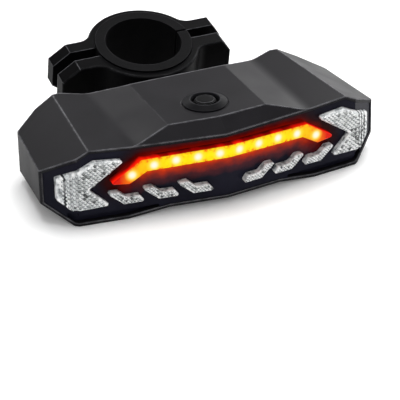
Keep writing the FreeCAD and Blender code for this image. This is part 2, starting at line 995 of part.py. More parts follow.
def make_button_ring():
    low = roof_height - button_spigot_depth
    well_top = ring_top - button_well_depth
    return turned([
        (ring_bore_radius, low),
        (button_spigot_radius, low),
        (button_spigot_radius, roof_height),
        (button_radius, roof_height),
        (button_radius, roof_height + button_foot),
        (button_radius - button_flank, ring_top),
        (button_well_radius + button_well_bevel, ring_top),
        (button_well_radius, well_top),
        (button_well_radius, lip_bottom),
        (ring_bore_radius, lip_bottom),
    ])


def make_button_cap():
    flange_top = lip_bottom - button_cap_room
    flange_low = flange_top - button_cap_flange_height
    flange_radius = button_cap_radius + button_cap_flange
    top = ring_top + button_cap_proud
    return turned([
        (0, plunger_top),
        (button_stem_radius, plunger_top),
        (button_stem_radius, flange_low),
        (flange_radius, flange_low),
        (flange_radius, flange_top),
        (button_cap_radius, flange_top),
        (button_cap_radius, top - button_cap_bevel),
        (button_cap_radius - button_cap_bevel, top - button_cap_dome),
        (button_cap_radius / 2, top),
        (0, top),
    ])


def make_battery():
    outline = [(battery_left_x, battery_front_y), (battery_right_x, battery_front_y),
               (battery_right_x, battery_back_y), (battery_left_x, battery_back_y)]
    cell = prism(outline, "z", battery_low, battery_low + battery_height, battery_corner)
    middle = battery_low + battery_height / 2
    return eased(cell, battery_edge, lambda edge: abs(middle_of(edge).z - middle) > battery_height / 2 - hair)


def make_siren():
    centre = V(0, siren_y, siren_low)
    can = Part.makeCylinder(siren_radius, siren_height, centre)
    mouth = Part.makeCylinder(siren_radius - siren_rim, siren_mouth, centre)
    cap = Part.makeCylinder(siren_radius - siren_cap_in, siren_cap_height, centre + UP * siren_height)
    return fused([can.cut(mouth), cap])


def make_membrane():
    centre = V(0, siren_y, siren_low - membrane_thickness)
    return Part.makeCylinder(siren_radius - siren_rim / 4, membrane_thickness, centre)


# Charging socket and its flap

def make_charge_board():
    back = -wall - charge_board_gap
    low = -socket_tall / 2 - board_thickness
    board = block(-charge_board_width / 2, charge_board_width / 2, back - charge_board_depth, back,
                  low, low + board_thickness)
    return at_port(board)


def make_socket():
    front = -wall - socket_gap
    floor = front - socket_depth + socket_floor
    inner_tall = socket_tall - 2 * socket_wall
    can = upright_plate(socket_width, socket_tall, front - socket_depth, front, socket_tall / 2 - fit)
    inner = upright_plate(socket_width - 2 * socket_wall, inner_tall, floor, front + wall, inner_tall / 2 - fit)
    tongue = block(-tongue_half, tongue_half, floor - socket_wall, front - socket_lip,
                   -tongue_tall / 2, tongue_tall / 2)
    return at_port(fused([can.cut(inner), tongue]))


def make_port_cover():
    half = port_width / 2 - fit
    low = -port_tall / 2 + fit
    bead_half = half - port_corner
    neck_z = bead_z - port_neck
    outline = mirrored([(half, low), (half, neck_z - port_corner), (bead_half, neck_z), (bead_half, bead_z)])
    radii = [port_corner] + [0] * 6 + [port_corner]
    back = -port_pocket + screw_room
    plate = prism(outline, "y", back, 0.0, radii)
    bead = rod(port_bead_radius, V(-bead_half, bead_y, bead_z), V(bead_half, bead_y, bead_z))
    plug = upright_plate(port_plug_width, port_plug_tall, -wall - seat_gap, back + fit, port_plug_tall / 2 - fit)
    tab = block(-port_tab_half, port_tab_half, back / 2, port_tab_out, low + port_tab_low, low + port_tab_high)
    return at_port(fused([plate, bead, plug, tab]))


# Bracket and pivot

def make_bracket():
    outline = [(-bracket_half, bracket_low), (bracket_half, bracket_low),
               (bracket_half, bracket_high), (-bracket_half, bracket_high)]
    plate = prism(outline, "y", body_depth, body_depth + bracket_plate, bracket_corner)
    lugs = []
    for side in SIDES:
        low, high = sorted((side * (knuckle_half + lug_gap), side * (knuckle_half + lug_gap + lug_thickness)))
        root = [(body_depth + bracket_plate / 2, pivot_z - lug_root), (pivot_y, pivot_z - lug_radius),
                (pivot_y, pivot_z + lug_radius), (body_depth + bracket_plate / 2, pivot_z + lug_root)]
        arm = prism(root, "x", low, high)
        eye = rod(lug_radius, V(low, pivot_y, pivot_z), V(high, pivot_y, pivot_z))
        lugs += [arm, eye]
    bore = rod(pivot_radius + pivot_fit, V(-far, pivot_y, pivot_z), V(far, pivot_y, pivot_z))
    flat = body_depth + bracket_plate - screw_room
    shank = screw_shank_radius + screw_room
    head = screw_head_radius + screw_room
    holes = []
    for x, z in bracket_screw_spots:
        neck = V(x, flat - screw_head_height, z)
        holes.append(rod(shank, V(x, 0, z), neck))
        holes.append(cone(shank, head, neck, V(x, flat, z)))
        holes.append(rod(head, V(x, flat, z), V(x, flat + wall, z)))
    return cut_by(fused([plate] + lugs), [bore] + holes)


def make_bracket_screws():
    screws = []
    back = body_depth + bracket_plate
    for x, z in bracket_screw_spots:
        screw = countersunk_screw(bracket_screw_length)
        screw.rotate(V(0, 0, 0), ACROSS, 90)
        screw.translate(V(x, back - screw_room, z))
        screws.append(screw)
    return Part.makeCompound(screws)


lug_outer = knuckle_half + lug_gap + lug_thickness


def make_pivot_bolt():
    head_start = V(-lug_outer - pivot_head_height, pivot_y, pivot_z)
    head_end = V(-lug_outer, pivot_y, pivot_z)
    tip = V(lug_outer + pivot_nut_height + pivot_tip, pivot_y, pivot_z)
    bolt = fused([rod(pivot_head_radius, head_start, head_end), rod(pivot_radius, head_end, tip)])
    return bolt.cut(hexagon_bar(pivot_key_radius, head_start, head_start + ACROSS * pivot_key_depth))


def hexagon_bar(radius, start, stop):
    """Six-sided bar along X, radius to its corners."""
    points = []
    for k in range(6):
        angle = math.radians(60 * k)
        points.append((start.y + radius * math.cos(angle), start.z + radius * math.sin(angle)))
    return prism(points, "x", start.x, stop.x)


def make_pivot_nut():
    start = V(lug_outer, pivot_y, pivot_z)
    nut = hexagon_bar(pivot_nut_radius, start, start + ACROSS * pivot_nut_height)
    return nut.cut(rod(pivot_radius + seat_gap, start, start + ACROSS * far))


# Post clamp

def in_clamp(shape):
    """Moves a piece from the clamp's own frame to its place behind the light."""
    shape.rotate(V(0, 0, 0), ACROSS, clamp_tilt)
    shape.translate(V(0, clamp_y, clamp_z))
    return shape


def to_clamp(y, z):
    """Clamp frame's y and z of a point of the light."""
    tilt = math.radians(clamp_tilt)
    dy, dz = y - clamp_y, z - clamp_z
    return dy * math.cos(tilt) + dz * math.sin(tilt), dz * math.cos(tilt) - dy * math.sin(tilt)


clamp_top = -sleeve_stand
clamp_low = clamp_top - clamp_height
ear_low = clamp_top - ear_height
ear_middle = (clamp_top + ear_low) / 2
ear_inner = ear_gap / 2
ear_outer = ear_inner + ear_thickness
bolt_seat = ear_outer - bolt_seat_depth
ear_ends = {1: right_ear_end, -1: left_ear_end}
right_corner = right_ear_end - right_ear_cut_x
left_corner = -left_ear_end + left_ear_cut_x


def ear_web(side):
    """Ear seen along the post, blended into the barrel, made on the +Y side."""
    blend_y = ear_outer + ear_blend
    blend_x = math.sqrt((clamp_outer_radius + ear_blend) ** 2 - blend_y ** 2)
    share = clamp_outer_radius / (clamp_outer_radius + ear_blend)
    on_barrel = V(blend_x * share, blend_y * share, 0)
    on_ear = V(blend_x, ear_outer, 0)
    towards = V(0, 0, 0) + on_barrel + on_ear - V(blend_x, blend_y, 0) * 2
    towards.normalize()
    mid = V(blend_x, blend_y, 0) + towards * ear_blend
    inside = on_barrel * (clamp_bore_radius / clamp_outer_radius)
    end = ear_ends[side]
    corners = [on_ear, V(end, ear_outer, 0), V(end, ear_inner, 0), V(inside.x, ear_inner, 0), inside, on_barrel]
    edges = [Part.Arc(on_barrel, mid, on_ear).toShape()]
    for a, b in zip(corners, corners[1:]):
        edges.append(Part.LineSegment(a, b).toShape())
    web = Part.Face(Part.Wire(edges)).extrude(V(0, 0, -ear_height))
    web.translate(V(0, 0, clamp_top))
    if side < 0:
        web = web.mirror(V(0, 0, 0), ACROSS)
    return web


def is_clamp_rim(edge):
    """Edges round the top of a half and down the outer face of its ears."""
    start, middle, end = edge.valueAt(edge.FirstParameter), middle_of(edge), edge.valueAt(edge.LastParameter)
    on_top = abs(middle.z - clamp_top) < hair and middle.y > ear_inner + clamp_edge / 2
    if on_top and abs(start.x - end.x) > hair:
        return True
    on_ear = abs(start.y - ear_outer) < hair and abs(end.y - ear_outer) < hair
    on_right = min(start.x, end.x) > right_corner - hair
    on_left = max(start.x, end.x) < left_corner + hair
    return on_ear and (on_right or on_left)


def clamp_half():
    """Rear half of the clamp, on the +Y side of its own frame."""
    barrel = Part.makeCylinder(clamp_outer_radius, clamp_height, V(0, 0, clamp_low))
    barrel = barrel.common(block(-far, far, ear_inner, far, -far, far))
    octagon = [(right_ear_end, clamp_top - right_ear_cut_z), (right_corner, clamp_top),
               (left_corner, clamp_top), (-left_ear_end, clamp_top - left_ear_cut_z),
               (-left_ear_end, ear_low + left_ear_cut_z), (left_corner, ear_low),
               (right_corner, ear_low), (right_ear_end, ear_low + right_ear_cut_z)]
    outline = through(octagon)
    ears = [ear_web(side).common(outline) for side in SIDES]
    half = fused([barrel] + ears)
    half = eased(half, clamp_edge, is_clamp_rim)
    return half.cut(Part.makeCylinder(clamp_bore_radius, far, V(0, 0, -far / 2)))


def bolt_line(side, y0, y1, radius):
    x = side * clamp_bolt_x
    return rod(radius, V(x, y0, ear_middle), V(x, y1, ear_middle))


def make_clamp_rear():
    """Rear half, its ears bored for the bolts and sunk round their heads."""
    holes = [bolt_line(side, 0, far, clamp_bolt_radius + clamp_bolt_room) for side in SIDES]
    sinks = [bolt_line(side, bolt_seat, far, bolt_seat_radius) for side in SIDES]
    return in_clamp(cut_by(clamp_half(), holes + sinks))


def make_clamp_front():
    half = clamp_half().mirror(V(0, 0, 0), BACK)
    y, z = to_clamp(pivot_y, pivot_z)
    root = clamp_arm_sunk - clamp_outer_radius
    gusset = [(root, z + clamp_arm_root), (y, z + knuckle_radius), (y, z - knuckle_radius),
              (root, z - clamp_arm_root)]
    arm = prism(gusset, "x", -knuckle_half, knuckle_half)
    eye = rod(knuckle_radius, V(-knuckle_half, y, z), V(knuckle_half, y, z))
    front = fused([half, arm, eye])
    bore = rod(pivot_radius + pivot_fit, V(-far, y, z), V(far, y, z))
    seats = [bolt_line(side, -ear_inner - insert_length, 0, insert_radius + seat_gap) for side in SIDES]
    hollow = Part.makeCylinder(clamp_bore_radius, far, V(0, 0, -far / 2))
    return in_clamp(cut_by(front, [hollow, bore] + seats))


def make_sleeve():
    tube = Part.makeCylinder(sleeve_radius, sleeve_length, V(0, 0, -sleeve_length))
    tube = tube.cut(Part.makeCylinder(post_bore_radius, far, V(0, 0, -far / 2)))
    slit = block(0, far, ear_inner - sleeve_slit, ear_inner, -far, far)
    return in_clamp(tube.cut(slit))


def make_inserts():
    sleeves = []
    for side in SIDES:
        body = bolt_line(side, -ear_inner - insert_length, -ear_inner, insert_radius)
        bore = bolt_line(side, -far, far, clamp_bolt_radius + clamp_bolt_fit)
        sleeves.append(in_clamp(body.cut(bore)))
    return Part.makeCompound(sleeves)


def make_washers():
    rings = []
    for side in SIDES:
        disc = bolt_line(side, bolt_seat, bolt_seat + washer_thickness, washer_radius)
        rings.append(in_clamp(disc.cut(bolt_line(side, 0, far, clamp_bolt_radius + clamp_bolt_room))))
    return Part.makeCompound(rings)


def make_clamp_bolt(side):
    seat = bolt_seat + washer_thickness
    top = seat + bolt_head_height
    head = eased(bolt_line(side, seat, top, bolt_head_radius), bolt_head_edge,
                 lambda edge: abs(middle_of(edge).y - top) < hair)
    shank = bolt_line(side, bolt_tip_gap - ear_inner - insert_length, seat, clamp_bolt_radius)
    points = []
    for k in range(6):
        angle = math.radians(60 * k)
        points.append((side * clamp_bolt_x + bolt_key_radius * math.cos(angle),
                       ear_middle + bolt_key_radius * math.sin(angle)))
    key = prism(points, "y", top - bolt_key_depth, far)
    return in_clamp(fused([head, shank]).cut(key))


# Every piece by its name

pieces = {
    "housing_shell": make_housing(),
    "front_bezel": make_bezel(),
    "front_seal": make_front_seal(),
    "light_bar_lens": lens(bar_points, bar_proud),
    "right_arrow_lens": lens(turned_to(arrow_points, 1), arrow_proud),
    "left_arrow_lens": lens(turned_to(arrow_points, -1), arrow_proud),
    "right_chevron_lenses": make_chevrons(1),
    "left_chevron_lenses": make_chevrons(-1),
    "light_baffle": make_baffle(),
    "right_led_board": make_lamp_board(1),
    "left_led_board": make_lamp_board(-1),
    "bar_leds": make_leds(bar_led_spots),
    "signal_leds": make_leds(arrow_led_spots + chevron_led_spots()),
    "bottom_cover": make_bottom_cover(),
    "cover_seal": make_cover_seal(),
    "cover_screws": make_cover_screws(),
    "main_board": make_main_board(),
    "board_screws": make_board_screws(),
    "control_chips": make_control_chips(),
    "tact_switch": make_switch(),
    "switch_plunger": make_plunger(),
    "button_ring": make_button_ring(),
    "button_cap": make_button_cap(),
    "battery_cell": make_battery(),
    "siren": make_siren(),
    "siren_membrane": make_membrane(),
    "charge_board": make_charge_board(),
    "usb_socket": make_socket(),
    "port_cover": make_port_cover(),
    "mount_bracket": make_bracket(),
    "bracket_screws": make_bracket_screws(),
    "pivot_bolt": make_pivot_bolt(),
    "pivot_nut": make_pivot_nut(),
    "clamp_front": make_clamp_front(),
    "clamp_rear": make_clamp_rear(),
    "clamp_sleeve": make_sleeve(),
    "clamp_inserts": make_inserts(),
    "bolt_washers": make_washers(),
    "right_clamp_bolt": make_clamp_bolt(1),
    "left_clamp_bolt": make_clamp_bolt(-1),
}

# Origin under the middle of the whole light, then one file for each piece

whole = Part.makeCompound(list(pieces.values())).BoundBox
frame_shift = V(0, -whole.Center.y, 0)
os.makedirs("parts", exist_ok=True)
for name, piece in pieces.items():
    piece.translate(frame_shift)
    piece.exportStep("parts/" + name + ".step")
print("pieces", len(pieces), "box", whole.XLength, whole.YLength, whole.ZLength, "front crease at y",
      frame_shift.y)
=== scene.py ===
"""Bicycle tail light: finishes, lamp glow, micro prisms, floor, lights and camera round the CAD model.

Metres, in the row frame. The CAD nodes carry the shapes. This file gives each of them its material, adds
the prisms moulded into the clear lenses, and lights it as in the photograph, with the light bar on.
"""

import math

import bmesh
import bpy
from mathutils import Matrix, Vector


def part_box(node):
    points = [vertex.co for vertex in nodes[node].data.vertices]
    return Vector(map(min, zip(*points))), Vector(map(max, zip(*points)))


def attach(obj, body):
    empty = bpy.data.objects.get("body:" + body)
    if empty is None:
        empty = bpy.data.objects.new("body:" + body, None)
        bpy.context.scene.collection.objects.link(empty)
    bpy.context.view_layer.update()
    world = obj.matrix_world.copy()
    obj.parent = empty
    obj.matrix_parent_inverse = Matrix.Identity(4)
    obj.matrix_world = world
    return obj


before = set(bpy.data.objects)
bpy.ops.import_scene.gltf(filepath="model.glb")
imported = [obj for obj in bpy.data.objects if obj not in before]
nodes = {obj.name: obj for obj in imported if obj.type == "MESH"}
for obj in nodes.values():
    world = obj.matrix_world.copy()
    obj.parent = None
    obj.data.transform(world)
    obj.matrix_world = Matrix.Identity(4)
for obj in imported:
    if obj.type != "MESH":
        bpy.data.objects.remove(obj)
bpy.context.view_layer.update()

MM = 0.001

# The swept front, as the part's source has it. The bezel's crease lies 0.3 mm behind the casing's. Both
# halves run back from it by SWEEP for each length outwards, and past the fold near each end by FOLD_SLOPE
CREASE_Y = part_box("front_bezel")[0].y - 0.3 * MM
SWEEP = math.tan(math.radians(7.03))
FOLD_X = 47.5 * MM
FOLD_SLOPE = 0.7828

# Middle of the button's ring
BUTTON = (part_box("button_ring")[0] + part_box("button_ring")[1]) / 2

# Outlines and lamps seen from the front, right half, in millimetres
ARROW = [(37.7, 6.4), (49.9, 6.0), (53.2, 8.9), (53.2, 16.4), (42.3, 21.9), (32.6, 21.1), (44.5, 12.8)]
CHEVRON = [(26.9, 6.2), (33.7, 6.2), (39.1, 10.7), (35.27, 10.7), (32.39, 8.6), (28.7, 8.6)]
CHEVRON_PITCH = 11.05
BAR_LINE = [(0.0, 19.1), (27.2, 18.8), (35.2, 13.6)]
BAR_LAMPS = [(3.3, 19.1), (10.27, 19.1), (17.23, 19.1), (24.2, 18.6), (31.2, 16.3)]
BAR_HALF_WIDTH = 3.0

# How far the lenses' faces stand in front of the crease line, in millimetres
BAR_PROUD = 2.5
ARROW_PROUD = 1.6
CHEVRON_PROUD = 1.9

# Lengths that the ramps on the front run over, in millimetres: from the crease to just past the bar's
# tips, from the floor to just over the bezel's top, and from the bar's middle line to the end of the glow
# painted on the bezel
BAR_REACH = 40.0
BEZEL_TOP = 25.0
GLOW_REACH = 9.0


# Node helpers

def linear(hex_colour):
    """sRGB hex to the linear colour that Blender's sockets take."""
    channels = []
    for start in (1, 3, 5):
        value = int(hex_colour[start:start + 2], 16) / 255
        channels.append(value / 12.92 if value <= 0.04045 else ((value + 0.055) / 1.055) ** 2.4)
    return (*channels, 1.0)


def add(tree, kind, inputs=None, **settings):
    """Adds one node with its settings; an input is linked if it is given a socket and set otherwise."""
    node = tree.nodes.new(kind)
    for name, value in settings.items():
        setattr(node, name, value)
    for name, value in (inputs or {}).items():
        if isinstance(value, bpy.types.NodeSocket):
            tree.links.new(value, node.inputs[name])
        else:
            node.inputs[name].default_value = value
    return node


def sums(tree, operation, *values, clamp=False):
    """Result of one Math node."""
    inputs = dict(enumerate(values))
    return add(tree, "ShaderNodeMath", inputs, operation=operation, use_clamp=clamp).outputs[0]


def smallest(tree, values):
    """Smallest of several values."""
    least = values[0]
    for value in values[1:]:
        least = sums(tree, "MINIMUM", least, value)
    return least


def vector(tree, operation, output, inputs):
    """Result of one Vector Math node."""
    return add(tree, "ShaderNodeVectorMath", inputs, operation=operation).outputs[output]


def upward(tree, direction):
    """How far a direction or a place goes up."""
    return vector(tree, "DOT_PRODUCT", "Value", {0: direction, 1: (0, 0, 1)})


def own_place(tree):
    """Place on the object, in its own coordinates."""
    return add(tree, "ShaderNodeTexCoord").outputs["Object"]


def own_normal(tree):
    """Normal of the surface."""
    return add(tree, "ShaderNodeNewGeometry").outputs["Normal"]


def share(tree, length, whole_mm):
    """Length as a share of another, which is given in millimetres."""
    return sums(tree, "DIVIDE", length, whole_mm * MM)


def spread(tree, value, low, high, low_result=0.0, high_result=1.0):
    """Straight line from low_result at low to high_result at high, level past both."""
    return add(tree, "ShaderNodeMapRange", {
        "Value": value, "From Min": low, "From Max": high, "To Min": low_result, "To Max": high_result,
    }).outputs[0]


def fade(tree, length, full_mm, none_mm):
    """1 up to full_mm, then smoothly down to 0 at none_mm."""
    return add(tree, "ShaderNodeMapRange", {
        "Value": length, "From Min": full_mm * MM, "From Max": none_mm * MM, "To Min": 1.0, "To Max": 0.0,
    }, interpolation_type="SMOOTHSTEP").outputs[0]


def noise(tree, size_mm, detail=2.0):
    """Noise on the object's own coordinates, with blobs of about this size."""
    inputs = {"Vector": own_place(tree), "Scale": 1 / (size_mm * MM), "Detail": detail}
    return add(tree, "ShaderNodeTexNoise", inputs).outputs[0]


def unevenness(tree, size_mm, amount):
    """Noise about 0, within half of amount to each side."""
    return sums(tree, "MULTIPLY", sums(tree, "SUBTRACT", noise(tree, size_mm), 0.5), amount)


def steps(tree, value, stops):
    """Colour ramp from (position, hex colour) pairs."""
    ramp = add(tree, "ShaderNodeValToRGB", {0: value})
    elements = ramp.color_ramp.elements
    while len(elements) < len(stops):
        elements.new(0.5)
    for element, (position, colour) in zip(elements, stops):
        element.position = position
        element.color = linear(colour)
    return ramp.outputs[0]


def mixed(tree, amount, below, above, blend_type="MIX"):
    """Colour that goes from below to above as amount goes from 0 to 1."""
    inputs = {0: amount, 6: below, 7: above}
    return add(tree, "ShaderNodeMix", inputs, data_type="RGBA", blend_type=blend_type).outputs[2]


def times(tree, colour, by):
    """Two colours multiplied."""
    return mixed(tree, 1.0, colour, by, "MULTIPLY")


def surface(name, **shader):
    """Material with one Principled shader; plain values sit on the shader's own sockets."""
    made = bpy.data.materials.new(name)
    made.use_nodes = True
    tree = made.node_tree
    tree.nodes.clear()
    inputs = {key.replace("_", " "): value for key, value in shader.items()}
    body = add(tree, "ShaderNodeBsdfPrincipled", inputs)
    add(tree, "ShaderNodeOutputMaterial", {"Surface": body.outputs[0]})
    return made, tree, body


def rounded_edges(tree, radius_mm):
    """Normal of the surface with its sharp edges rounded, and 1 where that turns it on an outer edge.

    Inner edges are told from outer ones by how little open air they have.
    """
    soft = add(tree, "ShaderNodeBevel", {"Radius": radius_mm * MM}, samples=6).outputs[0]
    alike = vector(tree, "DOT_PRODUCT", "Value", {0: soft, 1: own_normal(tree)})
    turn = spread(tree, alike, 0.999, 0.965)
    open_air = add(tree, "ShaderNodeAmbientOcclusion", {"Distance": 1.2 * MM}, samples=6).outputs["AO"]
    return soft, sums(tree, "MULTIPLY", turn, spread(tree, open_air, 0.75, 0.95))


def grained(tree, body, size_mm, depth_mm, strength=0.4, **normal):
    """Fine raised grain on the surface, drawn coarser than the real one so that it shows."""
    inputs = {"Height": noise(tree, size_mm), "Strength": strength, "Distance": depth_mm * MM, **normal}
    tree.links.new(add(tree, "ShaderNodeBump", inputs).outputs[0], body.inputs["Normal"])


# Places on the front, for what shines there

def front_place(tree):
    """Place seen flat from the front with both halves alike, distance from the middle, and depth."""
    at = add(tree, "ShaderNodeSeparateXYZ", {0: own_place(tree)})
    run = sums(tree, "ABSOLUTE", at.outputs["X"])
    flat = add(tree, "ShaderNodeCombineXYZ", {"X": run, "Z": at.outputs["Z"]}).outputs[0]
    swept = sums(tree, "MULTIPLY_ADD", sums(tree, "MINIMUM", run, FOLD_X), SWEEP, CREASE_Y)
    past_fold = sums(tree, "MAXIMUM", sums(tree, "SUBTRACT", run, FOLD_X), 0.0)
    folded = sums(tree, "MULTIPLY", past_fold, FOLD_SLOPE)
    behind = sums(tree, "SUBTRACT", at.outputs["Y"], sums(tree, "ADD", swept, folded))
    return flat, run, behind


def away_from_line(tree, point, line):
    """Distance from a place to the nearest point of a line of straight runs."""
    distances = []
    for (ax, az), (bx, bz) in zip(line, line[1:]):
        run = Vector((bx - ax, 0, bz - az)) * MM
        from_start = vector(tree, "SUBTRACT", "Vector", {0: point, 1: Vector((ax, 0, az)) * MM})
        along = vector(tree, "DOT_PRODUCT", "Value", {0: from_start, 1: run / run.length_squared})
        along = sums(tree, "ADD", along, 0.0, clamp=True)
        foot = vector(tree, "SCALE", "Vector", {0: run, "Scale": along})
        distances.append(vector(tree, "DISTANCE", "Value", {0: from_start, 1: foot}))
    return smallest(tree, distances)


def away_from_lamps(tree, point):
    """Distance from a place to the nearest lamp of the bar."""
    return smallest(tree, [
        vector(tree, "DISTANCE", "Value", {0: point, 1: Vector((x, 0, z)) * MM}) for x, z in BAR_LAMPS])


# Finishes

def casing_edge_highlight(tree):
    """Where the casing's edges get a painted highlight, and how light: lightest on the rim, not at all at the
    button.
    """
    from_button = vector(tree, "DISTANCE", "Value", {0: own_place(tree), 1: BUTTON})
    highlit_share = sums(tree, "SUBTRACT", 1.0, fade(tree, from_button, 9.5, 10.5))
    # Painted highlight is lighter on the rim's edges than elsewhere
    on_rim = fade(tree, front_place(tree)[2], -0.4, 0.2)
    return highlit_share, mixed(tree, on_rim, linear("#747478"), linear("#b4b4b8"))


def plain_edge_highlight(colour):
    """Edges given a painted highlight of one colour all over."""
    return lambda tree: (1.0, linear(colour))


def moulded(name, shades, roughness, grain_mm, depth_mm, edge_highlight=None, edge_mm=0.3, **shader):
    """Moulded plastic or rubber: two near shades in slow clouds, a fine grain and slightly uneven gloss.

    Its outer edges are rounded, and where an edge colour is given they carry a painted highlight in it:
    lightest where they face up, as light falls from above.
    """
    made, tree, body = surface(name, Roughness=roughness, **shader)
    clouds = noise(tree, 14.0, 3.0)
    colour = steps(tree, clouds, [(0.35, shades[0]), (0.65, shades[1])])
    soft, highlit = rounded_edges(tree, edge_mm)
    # Painted highlight: outer edges painted in a lighter colour, broken up in patches
    if edge_highlight:
        patches = steps(tree, noise(tree, 2.5, 3.0), [(0.3, "#9a9a9a"), (0.6, "#ffffff")])
        highlit_share, edge = edge_highlight(tree)
        highlit = sums(tree, "MULTIPLY", sums(tree, "MULTIPLY", highlit, patches), highlit_share)
        # Painted highlight is strongest on edges that face up, as the light falls from above
        facing_up = sums(tree, "MULTIPLY_ADD", upward(tree, soft), 0.75, 0.35, clamp=True)
        colour = mixed(tree, sums(tree, "MULTIPLY", highlit, facing_up), colour, edge)
    tree.links.new(colour, body.inputs["Base Color"])
    uneven = 0.05
    gloss = spread(tree, clouds, 0.3, 0.7, roughness - uneven, roughness + uneven)
    tree.links.new(gloss, body.inputs["Roughness"])
    grained(tree, body, grain_mm, depth_mm, Normal=soft)
    return made


def machined(name, shades, roughness):
    """Metal part turned or pressed from bar or sheet, with fine working marks."""
    made, tree, body = surface(name, Metallic=1.0, Roughness=roughness)
    colour = steps(tree, noise(tree, 0.7), [(0.3, shades[0]), (0.7, shades[1])])
    tree.links.new(colour, body.inputs["Base Color"])
    grained(tree, body, 0.5, 0.01)
    return made


def make_lit_acrylic():
    """Light bar: red acrylic with a pebbled face, moulded, lit from inside.

    The face is yellow along its middle and runs through amber to red at its tips, and each lamp shows
    as a white spot in a pale halo. The side walls are bright red at the face and deep red below, duller
    in the middle of the bar except near the lamps, and dull underneath.
    """
    made, tree, body = surface(
        "lit_red_acrylic", Base_Color=linear("#3a0402"), Roughness=0.15, Specular_IOR_Level=0.08,
        Emission_Strength=1.0)
    flat, run, behind = front_place(tree)
    lamps = away_from_lamps(tree, flat)

    across = share(tree, away_from_line(tree, flat, BAR_LINE), BAR_HALF_WIDTH)
    across = sums(tree, "ADD", across, unevenness(tree, 1.1, 1.7))
    face = steps(tree, across, [
        (0.0, "#fff000"), (0.46, "#ffe400"), (0.66, "#ffc400"), (0.84, "#fa8c00"), (1.0, "#e83404")])
    tint = steps(tree, share(tree, run, BAR_REACH), [
        (0.0, "#ffffff"), (0.5, "#fff8f0"), (0.72, "#fcd09c"), (0.81, "#f47c3c"), (0.88, "#d82018")])
    face = times(tree, face, tint)
    face = mixed(tree, fade(tree, lamps, 0.7, 2.7), face, linear("#ffec50"))
    face = mixed(tree, fade(tree, lamps, 0.3, 1.7), face, linear("#fffce8"))

    depth = share(tree, sums(tree, "ADD", behind, BAR_PROUD * MM), BAR_PROUD)
    wall = steps(tree, sums(tree, "ADD", depth, unevenness(tree, 4.0, 0.9)), [
        (0.0, "#ff2404"), (0.35, "#f01404"), (0.7, "#b00a04"), (1.0, "#5c0604")])
    dull = steps(tree, share(tree, run, BAR_REACH), [(0.5, "#883434"), (0.72, "#ffffff")])
    by_lamp = sums(tree, "MULTIPLY", noise(tree, 8.0, 1.0), fade(tree, lamps, 2.0, 4.6))
    by_lamp = sums(tree, "MULTIPLY_ADD", by_lamp, 4.0, -1.4, clamp=True)
    wall = times(tree, wall, mixed(tree, by_lamp, dull, linear("#ffffff")))
    facing_up = sums(tree, "MULTIPLY_ADD", upward(tree, own_normal(tree)), 0.5, 0.5)
    wall = times(tree, wall, steps(tree, facing_up, [(0.05, "#383838"), (0.5, "#ffffff")]))

    on_face = fade(tree, behind, 0.12 - BAR_PROUD, 0.35 - BAR_PROUD)
    tree.links.new(mixed(tree, on_face, wall, face), body.inputs["Emission Color"])
    grained(tree, body, 0.7, 0.05, 0.3)
    return made


def make_bezel_gloss():
    """Front panel: polycarbonate, smoked nearly black, polished tool, with the bar's red light painted on it
    as a glow.

    The painted glow is patchy, and weaker above the bar and towards the ends.
    """
    made, tree, body = surface(
        "smoked_polycarbonate", Roughness=0.2, IOR=1.58, Specular_IOR_Level=0.03, Emission_Strength=1.0)
    flat, run, _ = front_place(tree)
    # Painted glow: the bar's light painted onto the bezel as emission, fading with distance from the bar
    away = sums(tree, "ADD", away_from_line(tree, flat, BAR_LINE), unevenness(tree, 3.2, 3.0 * MM))
    glow = steps(tree, share(tree, away, GLOW_REACH), [
        (0.0, "#ff6a08"), (0.3, "#f64808"), (0.44, "#b42c08"), (0.58, "#80200e"), (0.76, "#40120e"),
        (1.0, "#000000")])
    above = steps(tree, share(tree, upward(tree, flat), BEZEL_TOP), [
        (0.0, "#ffffff"), (0.7, "#ffffff"), (0.8, "#844040"), (0.9, "#582020")])
    ends = steps(tree, share(tree, run, BAR_REACH), [
        (0.0, "#ffffff"), (0.6, "#ffffff"), (0.76, "#803838"), (0.88, "#280c0c")])
    tree.links.new(times(tree, times(tree, glow, above), ends), body.inputs["Emission Color"])
    shade = steps(tree, noise(tree, 18.0), [(0.3, "#15151f"), (0.7, "#1e1e2a")])
    # Painted glow: near the bar the base colour is darkened, so that the painted glow stays deep red
    shade = mixed(tree, fade(tree, away, 2.0, 8.0), shade, linear("#080202"))
    tree.links.new(shade, body.inputs["Base Color"])
    grained(tree, body, 6.0, 0.02, 0.15)
    return made


